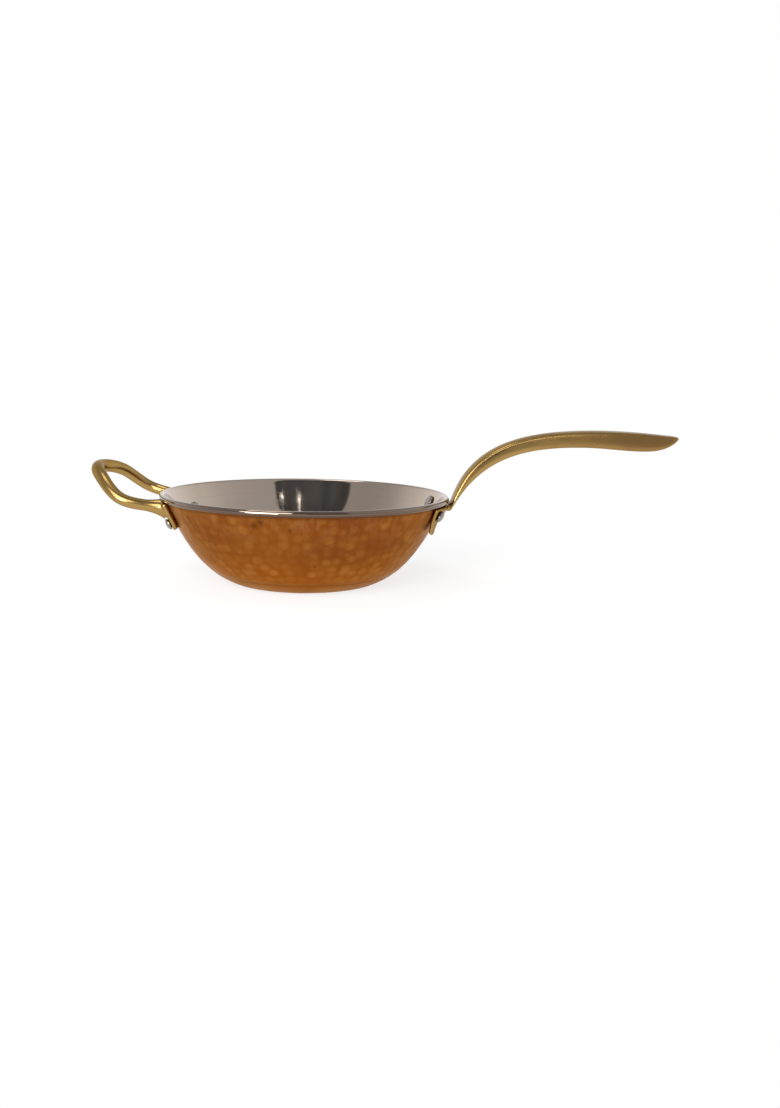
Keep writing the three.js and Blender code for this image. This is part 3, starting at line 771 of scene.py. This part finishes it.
def long_handle(finish):
    """Cast handle that arches over the rim, on a yoke with two tongues riveted to the wall."""
    top, under = handle_lines()
    rings = []
    for share in np.linspace(0, 1, HANDLE_RINGS):
        base = under.at(share * under.length)
        up = top.at(share * top.length) - base
        depth = np.linalg.norm(up)
        fade = smoothstep(CHANNEL_FROM, CHANNEL_FROM + CHANNEL_RUN_OUT, share)
        fade *= 1 - smoothstep(CHANNEL_TO - CHANNEL_RUN_OUT, CHANNEL_TO, share)
        section = handle_section(handle_width(share), depth, max(0, depth - CHANNEL_WALL) * fade)
        flat = base + (up / depth) * section[:, 1, None]
        rings.append(np.stack([flat[:, 0], section[:, 0], flat[:, 1]], axis=1))

    bodies = [loft(rings), wall_plate(yoke_half, YOKE_HEIGHT, YOKE_THICKNESS, seated, 0)]
    turn = math.radians(HANDLE_RIVET_ANGLE)
    for side in (-turn, turn):
        bodies.append(wall_plate(tongue_half, TONGUE_LENGTH, TONGUE_THICKNESS, tongue_off, side))
    cast("long_handle_casting", bodies, finish, "long_handle")


def loop_handle(finish):
    """Cast loop of round bar whose ends flare into a riveted foot each."""
    turn = math.radians(LOOP_FOOT_ANGLE)

    def half_line(side):
        points = [beside_wall(LOOP_ROOT_DEPTH, CAST_GAP, math.pi - side * turn)]
        for reach, spread, rise in (LOOP_LEG, LOOP_BEND):
            points.append((-RIM_RADIUS - reach, side * spread, BOWL_HEIGHT + rise))
        return points

    tip = (-RIM_RADIUS - LOOP_TIP[0], LOOP_TIP[1], BOWL_HEIGHT + LOOP_TIP[2])
    line = Line(smooth_through([*half_line(-1), tip, *half_line(1)[::-1]]))
    turns = np.linspace(0, 2 * math.pi, LOOP_SIDES, endpoint=False)[:, None]
    rings = []
    for distance in np.linspace(0, line.length, LOOP_RINGS):
        along = line.along(distance)
        across = np.cross([0, 0, 1], along)
        across /= np.linalg.norm(across)
        up = np.cross(along, across)
        swell = math.sin(math.pi * distance / line.length) ** 2
        bar = LOOP_LEG_DIAMETER + (LOOP_TIP_DIAMETER - LOOP_LEG_DIAMETER) * swell
        flare = max(0, 1 - min(distance, line.length - distance) / LOOP_ROOT_LENGTH) ** 2
        radius = (bar + (LOOP_ROOT_DIAMETER - bar) * flare) / 2
        ring = line.at(distance) + radius * (np.cos(turns) * across + np.sin(turns) * up)
        rings.append(clear_of_wall(ring, LOOP_ROOT_GAP))

    bodies = [loft(rings)]
    for side in (math.pi - turn, math.pi + turn):
        bodies.append(wall_plate(loop_foot_half, LOOP_FOOT_LENGTH, LOOP_FOOT_THICKNESS, seated, side))
    cast("loop_handle_casting", bodies, finish, "loop_handle")


def dome(radius, seat, height):
    """Section of a rivet's head from its seat to its crown. A negative height points down."""
    edge = math.copysign(HEAD_EDGE, height)
    turns = np.linspace(0, math.pi / 2, DOME_STEPS)
    cap = [(radius * math.cos(t), seat + edge + (height - edge) * math.sin(t)) for t in turns]
    chamfer = [(radius - HEAD_CHAMFER, seat), (radius, seat + edge * HEAD_CHAMFER_AT)]
    return [*chamfer, *cap[:-1], (0, seat + height)]


def rivet(name, angle, depth, foot_thickness, stand_off, finish):
    """Rivet square to the wall: a domed head outside, a lower one inside the bowl."""
    hollow = TAIL_RADIUS**2 / (2 * wall_radius(depth))
    head_seat = float(stand_off(depth + HEAD_RADIUS)) + foot_thickness + SEAT_GAP
    tail_seat = -(COPPER_SHEET + SHEET_GAP + STEEL_SHEET + SEAT_GAP + hollow)
    section = np.array(
        [
            *dome(TAIL_RADIUS, tail_seat, -TAIL_HEIGHT)[::-1],
            (SHANK_RADIUS, tail_seat),
            (SHANK_RADIUS, head_seat),
            *dome(HEAD_RADIUS, head_seat, HEAD_HEIGHT),
        ]
    )
    points, faces = revolve(section, RIVET_COLUMNS)
    place = beside_wall(depth, 0.0, angle)
    outward = Vector(beside_wall(depth, 1.0, angle) - place)
    turned = np.array(outward.to_track_quat("Z", "Y").to_matrix())
    mesh = new_mesh(name, points @ turned.T + place, faces)
    new_piece(name + "_turned", mesh, finish, name)


# Nodes of the finishes


def is_socket(value):
    return isinstance(value, bpy.types.NodeSocket)


def add(tree, kind, inputs=None, **settings):
    """A shader node. An input is given a value, or linked where it is given another node's socket."""
    node = tree.nodes.new(kind)
    for name, value in settings.items():
        setattr(node, name, value)
    for name, value in (inputs or {}).items():
        if is_socket(value):
            tree.links.new(value, node.inputs[name])
        else:
            node.inputs[name].default_value = value
    return node


def blend_colour(tree, share, low, high):
    low, high = (value if is_socket(value) else (*value, 1) for value in (low, high))
    return add(tree, "ShaderNodeMix", {0: share, 6: low, 7: high}, data_type="RGBA").outputs[2]


def reckon(tree, operation, *values):
    return add(tree, "ShaderNodeMath", dict(enumerate(values)), operation=operation).outputs[0]


def tint(tree, colour, mask, tone, most):
    """Blend a colour toward a tone where a mask is, at most by a given share."""
    return blend_colour(tree, reckon(tree, "MULTIPLY", mask, most), colour, tone)


def dulled(tree, satin, mask, more):
    """Roughness that is raised where a mask is."""
    return reckon(tree, "ADD", satin, reckon(tree, "MULTIPLY", mask, more))


def stretch(tree, value, low, high, new_low=0.0, new_high=1.0):
    limits = {"Value": value, "From Min": low, "From Max": high, "To Min": new_low, "To Max": new_high}
    return add(tree, "ShaderNodeMapRange", limits).outputs["Result"]


def object_place(tree):
    return add(tree, "ShaderNodeTexCoord").outputs["Object"]


def parts_of(tree, place):
    return add(tree, "ShaderNodeSeparateXYZ", {"Vector": place}).outputs


def distance_from(tree, centre, place):
    return add(tree, "ShaderNodeVectorMath", {0: place, 1: centre}, operation="DISTANCE").outputs["Value"]


def clouds(tree, place, scale, detail, roughness=0.5):
    inputs = {"Vector": place, "Scale": scale, "Detail": detail, "Roughness": roughness}
    return add(tree, "ShaderNodeTexNoise", inputs).outputs["Fac"]


# Effects that the finishes share


def new_group(name, inputs, outputs):
    tree = bpy.data.node_groups.new(name, "ShaderNodeTree")
    for socket, (kind, value) in inputs.items():
        made = tree.interface.new_socket(socket, in_out="INPUT", socket_type=kind)
        made.default_value = value
    for socket in outputs:
        tree.interface.new_socket(socket, in_out="OUTPUT", socket_type="NodeSocketFloat")
    return tree, tree.nodes.new("NodeGroupInput").outputs, tree.nodes.new("NodeGroupOutput").inputs


def tarnish_group():
    """Soft uneven patches of a handled metal. Patches is their count in a metre, Cover what they take up."""
    inputs = {"Patches": ("NodeSocketFloat", 30.0), "Cover": ("NodeSocketFloat", 0.5)}
    tree, given, result = new_group("tarnish", inputs, ["Mask"])
    patches = clouds(tree, object_place(tree), given["Patches"], detail=4.0, roughness=0.6)
    cover = reckon(tree, "MULTIPLY", given["Cover"], TARNISH_SPAN)
    low = reckon(tree, "SUBTRACT", TARNISH_TOP, cover)
    high = reckon(tree, "ADD", low, TARNISH_EDGE)
    tree.links.new(stretch(tree, patches, low, high), result["Mask"])
    return tree


def polish_group():
    """Fine lines left by polishing. Lines gives their count in a metre along each direction."""
    inputs = {"Place": ("NodeSocketVector", (0, 0, 0)), "Lines": ("NodeSocketVector", (90, 900, 900))}
    tree, given, result = new_group("polish_lines", inputs, ["Line", "Haze"])
    factors = {0: given["Place"], 1: given["Lines"]}
    place = add(tree, "ShaderNodeVectorMath", factors, operation="MULTIPLY").outputs[0]
    tree.links.new(clouds(tree, place, 1.0, detail=3.0, roughness=0.7), result["Line"])
    tree.links.new(clouds(tree, place, POLISH_HAZE_SCALE, detail=2.0), result["Haze"])
    return tree


def speck_group():
    """Small dark specks, few and uneven in size. Spacing is their count in a metre."""
    inputs = {"Spacing": ("NodeSocketFloat", 90.0), "Size": ("NodeSocketFloat", 0.12)}
    tree, given, result = new_group("specks", inputs, ["Mask"])
    spread = {"Vector": object_place(tree), "Scale": given["Spacing"], "Randomness": 1.0}
    cells = add(tree, "ShaderNodeTexVoronoi", spread).outputs
    chance = add(tree, "ShaderNodeSeparateColor", {"Color": cells["Color"]}).outputs["Red"]
    size = reckon(tree, "MULTIPLY", given["Size"], stretch(tree, chance, *SPECK_CHANCE))
    edge = reckon(tree, "SUBTRACT", size, cells["Distance"])
    tree.links.new(stretch(tree, edge, 0.0, SPECK_EDGE), result["Mask"])
    return tree


def place_group(tree, group, **inputs):
    return add(tree, "ShaderNodeGroup", inputs, node_tree=group).outputs


# Finishes


def new_metal(name):
    finish = bpy.data.materials.new(name)
    finish.use_nodes = True
    shader = finish.node_tree.nodes["Principled BSDF"]
    shader.inputs["Metallic"].default_value = 1.0
    return finish, finish.node_tree, shader


def set_surface(tree, shader, colour, roughness, height, depth):
    tree.links.new(colour, shader.inputs["Base Color"])
    tree.links.new(roughness, shader.inputs["Roughness"])
    bump = add(tree, "ShaderNodeBump", {"Height": height, "Strength": 1.0, "Distance": depth})
    tree.links.new(bump.outputs["Normal"], shader.inputs["Normal"])


def scorch_mask(tree):
    """Dark dots burnt into the copper, ragged at their edges."""
    place = object_place(tree)
    ragged = stretch(tree, clouds(tree, place, SCORCH_GRAIN, detail=3.0), *CLOUD_RANGE, *SCORCH_RAGGED)
    mask = None
    for angle, depth, size in SCORCHES:
        centre = tuple(beside_wall(depth, 0.0, math.radians(angle)) * MM)
        apart = reckon(tree, "MULTIPLY", distance_from(tree, centre, place), ragged)
        dot = stretch(tree, apart, size * MM * SCORCH_CORE, size * MM, 1.0, 0.0)
        mask = dot if mask is None else reckon(tree, "MAXIMUM", mask, dot)
    return mask


def beaten_copper(tarnish, polish, specks):
    """Satin hammered copper: painted highlights in the marks, browner in patches, painted shade under the rim
    and in the turned line, scorched in places.
    """
    finish, tree, shader = new_metal("beaten_copper")
    shader.inputs["Specular Tint"].default_value = COPPER_EDGE
    highlight, painted_shade, plain, depth = (
        add(tree, "ShaderNodeAttribute", attribute_name=name).outputs["Fac"]
        for name in ("mark_highlight", "painted_shade", "plain_base", "depth")
    )
    patches = place_group(tree, tarnish, Patches=17.0, Cover=0.58)["Mask"]
    mottle = place_group(tree, tarnish, Patches=120.0, Cover=0.5)["Mask"]
    spots = place_group(tree, specks, Spacing=60.0, Size=0.08)["Mask"]
    lines = place_group(tree, polish, Place=object_place(tree), Lines=COPPER_LINES)
    smears = place_group(tree, polish, Place=object_place(tree), Lines=COPPER_SMEARS)
    # Painted highlights in the dishes, stronger low on the wall
    highlight = reckon(tree, "MULTIPLY", highlight, stretch(tree, depth, *HIGHLIGHT_DEPTHS, *HIGHLIGHT_SHARES))
    highlight = reckon(tree, "MULTIPLY", highlight, stretch(tree, mottle, 0.0, 1.0, *HIGHLIGHT_MOTTLED))
    wiped = stretch(tree, smears["Line"], *SMEAR_RANGE)
    wiped = reckon(tree, "MULTIPLY", wiped, stretch(tree, depth, *WIPED_DEPTHS, 1.0, 0.0))
    colour = tint(tree, COPPER_BODY, patches, COPPER_BROWN, most=0.8)
    colour = tint(tree, colour, mottle, COPPER_MOTTLE, most=0.3)
    # Partly painted light: lighter and more golden low on the wall
    colour = tint(tree, colour, stretch(tree, depth, *GOLDEN_DEPTHS), COPPER_GOLDEN, most=0.7)
    # Painted highlight in each dish
    colour = tint(tree, colour, highlight, COPPER_MARK_HIGHLIGHT, most=1.0)
    colour = tint(tree, colour, plain, COPPER_BASE, most=0.6)
    colour = tint(tree, colour, wiped, COPPER_WIPED, most=0.5)
    # Painted shade under the rim and in the turned line
    colour = tint(tree, colour, painted_shade, COPPER_PAINTED_SHADE, most=0.7)
    colour = tint(tree, colour, spots, COPPER_SPOT, most=0.7)
    colour = tint(tree, colour, scorch_mask(tree), COPPER_SCORCH, most=0.75)
    satin = stretch(tree, lines["Haze"], *CLOUD_RANGE, *COPPER_SATIN)
    set_surface(tree, shader, colour, dulled(tree, satin, patches, more=0.06), lines["Line"], depth=0.00002)
    return finish


def polished_steel(tarnish, polish):
    """Polished stainless steel with faint turning rings and dull patches, a painted dark reflection on the
    rolled rim and painted shade on its underside.
    """
    finish, tree, shader = new_metal("polished_steel")
    parts = parts_of(tree, object_place(tree))
    squares = [reckon(tree, "MULTIPLY", parts[axis], parts[axis]) for axis in ("X", "Y")]
    radius = reckon(tree, "SQRT", reckon(tree, "ADD", *squares))
    ring_place = add(tree, "ShaderNodeCombineXYZ", {"X": radius, "Y": parts["Z"]}).outputs["Vector"]
    rings = place_group(tree, polish, Place=ring_place, Lines=STEEL_RINGS)
    dull = place_group(tree, tarnish, Patches=34.0, Cover=0.5)["Mask"]
    # Painted dark reflection on the outer side of the rolled rim
    dark_reflection = stretch(tree, radius, *DARK_REFLECTION_RADII, 0.0, DARK_REFLECTION_MOST)
    # Painted shade on the underside of the roll
    under_roll_shade = reckon(tree, "MULTIPLY", dark_reflection, stretch(tree, parts["Z"], *PAINTED_SHADE_HEIGHTS, 1.0, 0.0))
    colour = tint(tree, STEEL_BODY, dull, STEEL_DULL, most=0.6)
    colour = tint(tree, colour, stretch(tree, rings["Haze"], *CLOUD_RANGE), STEEL_RING, most=0.25)
    colour = blend_colour(tree, dark_reflection, colour, STEEL_DARK_REFLECTION)
    colour = blend_colour(tree, under_roll_shade, colour, STEEL_PAINTED_SHADE)
    shine = stretch(tree, rings["Line"], *CLOUD_RANGE, *STEEL_SHINE)
    set_surface(tree, shader, colour, dulled(tree, shine, dull, more=0.05), rings["Line"], depth=0.000001)
    return finish


def cast_brass(name, tarnish, polish, specks, line_counts, satin_range, handled=None):
    """Polished cast brass with small pits, browner in dull patches and along the stretch that is handled."""
    finish, tree, shader = new_metal(name)
    shader.inputs["Specular Tint"].default_value = BRASS_EDGE
    shader.inputs["Coat Weight"].default_value = BRASS_LACQUER
    shader.inputs["Coat Roughness"].default_value = BRASS_LACQUER_SATIN
    dull = place_group(tree, tarnish, Patches=38.0, Cover=0.55)["Mask"]
    pits = place_group(tree, specks, Spacing=180.0, Size=0.1)["Mask"]
    lines = place_group(tree, polish, Place=object_place(tree), Lines=line_counts)
    colour = tint(tree, BRASS_BODY, dull, BRASS_DULL, most=0.6)
    colour = tint(tree, colour, stretch(tree, lines["Haze"], *BRASS_HAZE_RANGE), BRASS_HAZE, most=0.3)
    if handled:
        along = parts_of(tree, object_place(tree))["X"]
        colour = tint(tree, colour, stretch(tree, along, *handled), BRASS_HANDLED, most=0.55)
    colour = tint(tree, colour, pits, BRASS_PIT, most=0.4)
    satin = stretch(tree, lines["Line"], *CLOUD_RANGE, *satin_range)
    pitted = reckon(tree, "SUBTRACT", lines["Line"], pits)
    set_surface(tree, shader, colour, dulled(tree, satin, dull, more=0.1), pitted, depth=0.000004)
    return finish


def rivet_steel(tarnish, polish):
    """Plain steel with dull patches and scratches."""
    finish, tree, shader = new_metal("rivet_steel")
    dull = place_group(tree, tarnish, Patches=220.0, Cover=0.55)["Mask"]
    lines = place_group(tree, polish, Place=object_place(tree), Lines=RIVET_LINES)
    colour = tint(tree, RIVET_BODY, dull, RIVET_DULL, most=0.7)
    satin = stretch(tree, lines["Line"], *CLOUD_RANGE, *RIVET_SATIN)
    set_surface(tree, shader, colour, dulled(tree, satin, dull, more=0.12), lines["Line"], depth=0.00001)
    return finish


# Studio


def seen_rays(tree):
    """One for rays from the camera, off gloss and through glass, which see the floor as white."""
    rays = add(tree, "ShaderNodeLightPath").outputs
    seen = reckon(tree, "ADD", rays["Is Camera Ray"], rays["Is Glossy Ray"])
    return reckon(tree, "MINIMUM", reckon(tree, "ADD", seen, rays["Is Transmission Ray"]), 1.0)


def studio_world():
    """White all round for the camera. The pan itself has white behind it and a dimmer room elsewhere."""
    world = bpy.data.worlds.new("studio")
    world.use_nodes = True
    tree = world.node_tree
    tree.nodes.clear()
    parts = parts_of(tree, add(tree, "ShaderNodeTexCoord").outputs["Generated"])
    behind = stretch(tree, parts["Y"], *BACKDROP_FRONT)
    low = stretch(tree, parts["Z"], *BACKDROP_TOP, 1.0, 0.0)
    camera = add(tree, "ShaderNodeLightPath").outputs["Is Camera Ray"]
    white = reckon(tree, "MAXIMUM", reckon(tree, "MULTIPLY", behind, low), camera)
    room = blend_colour(tree, stretch(tree, parts["X"], -1.0, 1.0), ROOM_LEFT, ROOM_RIGHT)
    light = blend_colour(tree, white, room, WHITE)
    shine = add(tree, "ShaderNodeBackground", {"Color": light, "Strength": 1.0})
    add(tree, "ShaderNodeOutputWorld", {"Surface": shine.outputs[0]})
    bpy.context.scene.world = world


def white_paper():
    """Matt white floor that keeps the shadow near the pan, melts into the backdrop and is open from below."""
    paper = bpy.data.materials.new("white_paper")
    paper.use_nodes = True
    tree = paper.node_tree
    tree.nodes.clear()
    seen = seen_rays(tree)
    matt = add(tree, "ShaderNodeBsdfDiffuse", {"Color": PAPER_GREY})
    fill = add(tree, "ShaderNodeEmission", {"Strength": reckon(tree, "MULTIPLY", seen, PAPER_FILL)})
    lit = add(tree, "ShaderNodeAddShader", {0: matt.outputs[0], 1: fill.outputs[0]})
    apart = distance_from(tree, FLOOR_CENTRE, object_place(tree))
    melt = reckon(tree, "MULTIPLY", stretch(tree, apart, *PAPER_MELT), seen)
    white = add(tree, "ShaderNodeEmission", {"Strength": 1.0})
    above = add(tree, "ShaderNodeMixShader", {0: melt, 1: lit.outputs[0], 2: white.outputs[0]})
    camera = add(tree, "ShaderNodeLightPath").outputs["Is Camera Ray"]
    back = add(tree, "ShaderNodeNewGeometry").outputs["Backfacing"]
    below = reckon(tree, "MULTIPLY", back, camera)
    clear = add(tree, "ShaderNodeBsdfTransparent")
    sheet = add(tree, "ShaderNodeMixShader", {0: below, 1: above.outputs[0], 2: clear.outputs[0]})
    add(tree, "ShaderNodeOutputMaterial", {"Surface": sheet.outputs[0]})
    return paper


def dark_felt():
    """Dark grey cards, a little uneven."""
    felt = bpy.data.materials.new("dark_felt")
    felt.use_nodes = True
    tree = felt.node_tree
    shader = tree.nodes["Principled BSDF"]
    shader.inputs["Roughness"].default_value = 1.0
    folds = stretch(tree, clouds(tree, object_place(tree), FELT_FOLDS, detail=2.0), *FELT_RANGE)
    tree.links.new(blend_colour(tree, folds, FELT_DARK, FELT_PALE), shader.inputs["Base Color"])
    return felt


def stage_sheet(name, corners, finish):
    mesh = bpy.data.meshes.new(name)
    mesh.from_pydata(corners, [], [tuple(range(len(corners)))])
    mesh.materials.append(finish)
    sheet = bpy.data.objects.new(name, mesh)
    bpy.context.scene.collection.objects.link(sheet)
    return sheet


def softbox(name, place, width, height, power):
    lamp = bpy.data.lights.new(name, "AREA")
    lamp.shape = "RECTANGLE"
    lamp.size = width
    lamp.size_y = height
    lamp.energy = power
    holder = bpy.data.objects.new(name, lamp)
    holder.location = place
    aim = Vector(LAMP_AIM) - Vector(place)
    holder.rotation_euler = aim.to_track_quat("-Z", "Y").to_euler()
    holder.visible_camera = False
    bpy.context.scene.collection.objects.link(holder)


def studio():
    bpy.context.scene.view_settings.view_transform = "Standard"
    studio_world()
    middle, _, level = FLOOR_CENTRE
    rim = [FLOOR_RADIUS * heading(turn) for turn in range(0, 360, FLOOR_CORNER_TURN)]
    stage_sheet("floor", [(middle + x, y, level) for x, y in rim], white_paper())

    left, right = RIM_CARD_SIDES
    low, high = RIM_CARD_HEIGHTS
    rim_card_outline = ((left, low), (right, low), (right, high), (left, high))
    cards = {
        "lining_card": [(x, y, LINING_CARD_HEIGHT) for x, y in LINING_CARD_OUTLINE],
        "rim_card": [(x, RIM_CARD_PLACE, z) for x, z in rim_card_outline],
    }
    dark = dark_felt()
    for name, corners in cards.items():
        card = stage_sheet(name, corners, dark)
        card.visible_camera = False
        card.visible_diffuse = False
        card.visible_shadow = False

    for lamp in SOFTBOXES:
        softbox(*lamp)


def photograph_camera():
    pitch = math.radians(CAMERA_PITCH)
    roll = math.radians(CAMERA_ROLL)
    ahead = Vector((0, math.cos(pitch), -math.sin(pitch)))
    level_right = Vector((1, 0, 0))
    level_up = Vector((0, math.sin(pitch), math.cos(pitch)))
    right = level_right * math.cos(roll) + level_up * math.sin(roll)
    up = level_up * math.cos(roll) - level_right * math.sin(roll)
    lens = bpy.data.cameras.new("camera")
    lens.sensor_width = SENSOR
    lens.lens = FOCAL_PIXELS / PHOTO_HEIGHT * SENSOR
    lens.shift_x = -AXIS_RIGHT_PIXELS / PHOTO_HEIGHT
    lens.shift_y = -AXIS_UP_PIXELS / PHOTO_HEIGHT
    lens.clip_start, lens.clip_end = CAMERA_CLIP
    camera = bpy.data.objects.new("camera", lens)
    turned = Matrix((right, up, -ahead)).transposed().to_4x4()
    camera.matrix_world = Matrix.Translation(Vector(CAMERA_PLACE) * MM) @ turned
    bpy.context.scene.collection.objects.link(camera)
    bpy.context.scene.camera = camera


def main():
    photograph_camera()
    studio()
    tarnish = tarnish_group()
    polish = polish_group()
    specks = speck_group()
    copper_bowl(beaten_copper(tarnish, polish, specks))
    steel_lining(polished_steel(tarnish, polish))
    effects = (tarnish, polish, specks)
    long_handle(cast_brass("long_handle_brass", *effects, HANDLE_LINES, HANDLE_SATIN, HANDLED_STRETCH))
    loop_handle(cast_brass("loop_brass", *effects, LOOP_LINES, LOOP_SATIN))
    plain = rivet_steel(tarnish, polish)
    handle_turn = math.radians(HANDLE_RIVET_ANGLE)
    loop_turn = math.radians(LOOP_FOOT_ANGLE)
    for side, turn in (("front", -handle_turn), ("back", handle_turn)):
        rivet(f"handle_rivet_{side}", turn, HANDLE_RIVET_DEPTH, TONGUE_THICKNESS, tongue_off, plain)
    for side, turn in (("front", math.pi + loop_turn), ("back", math.pi - loop_turn)):
        rivet(f"loop_rivet_{side}", turn, LOOP_RIVET_DEPTH, LOOP_FOOT_THICKNESS, seated, plain)


main()
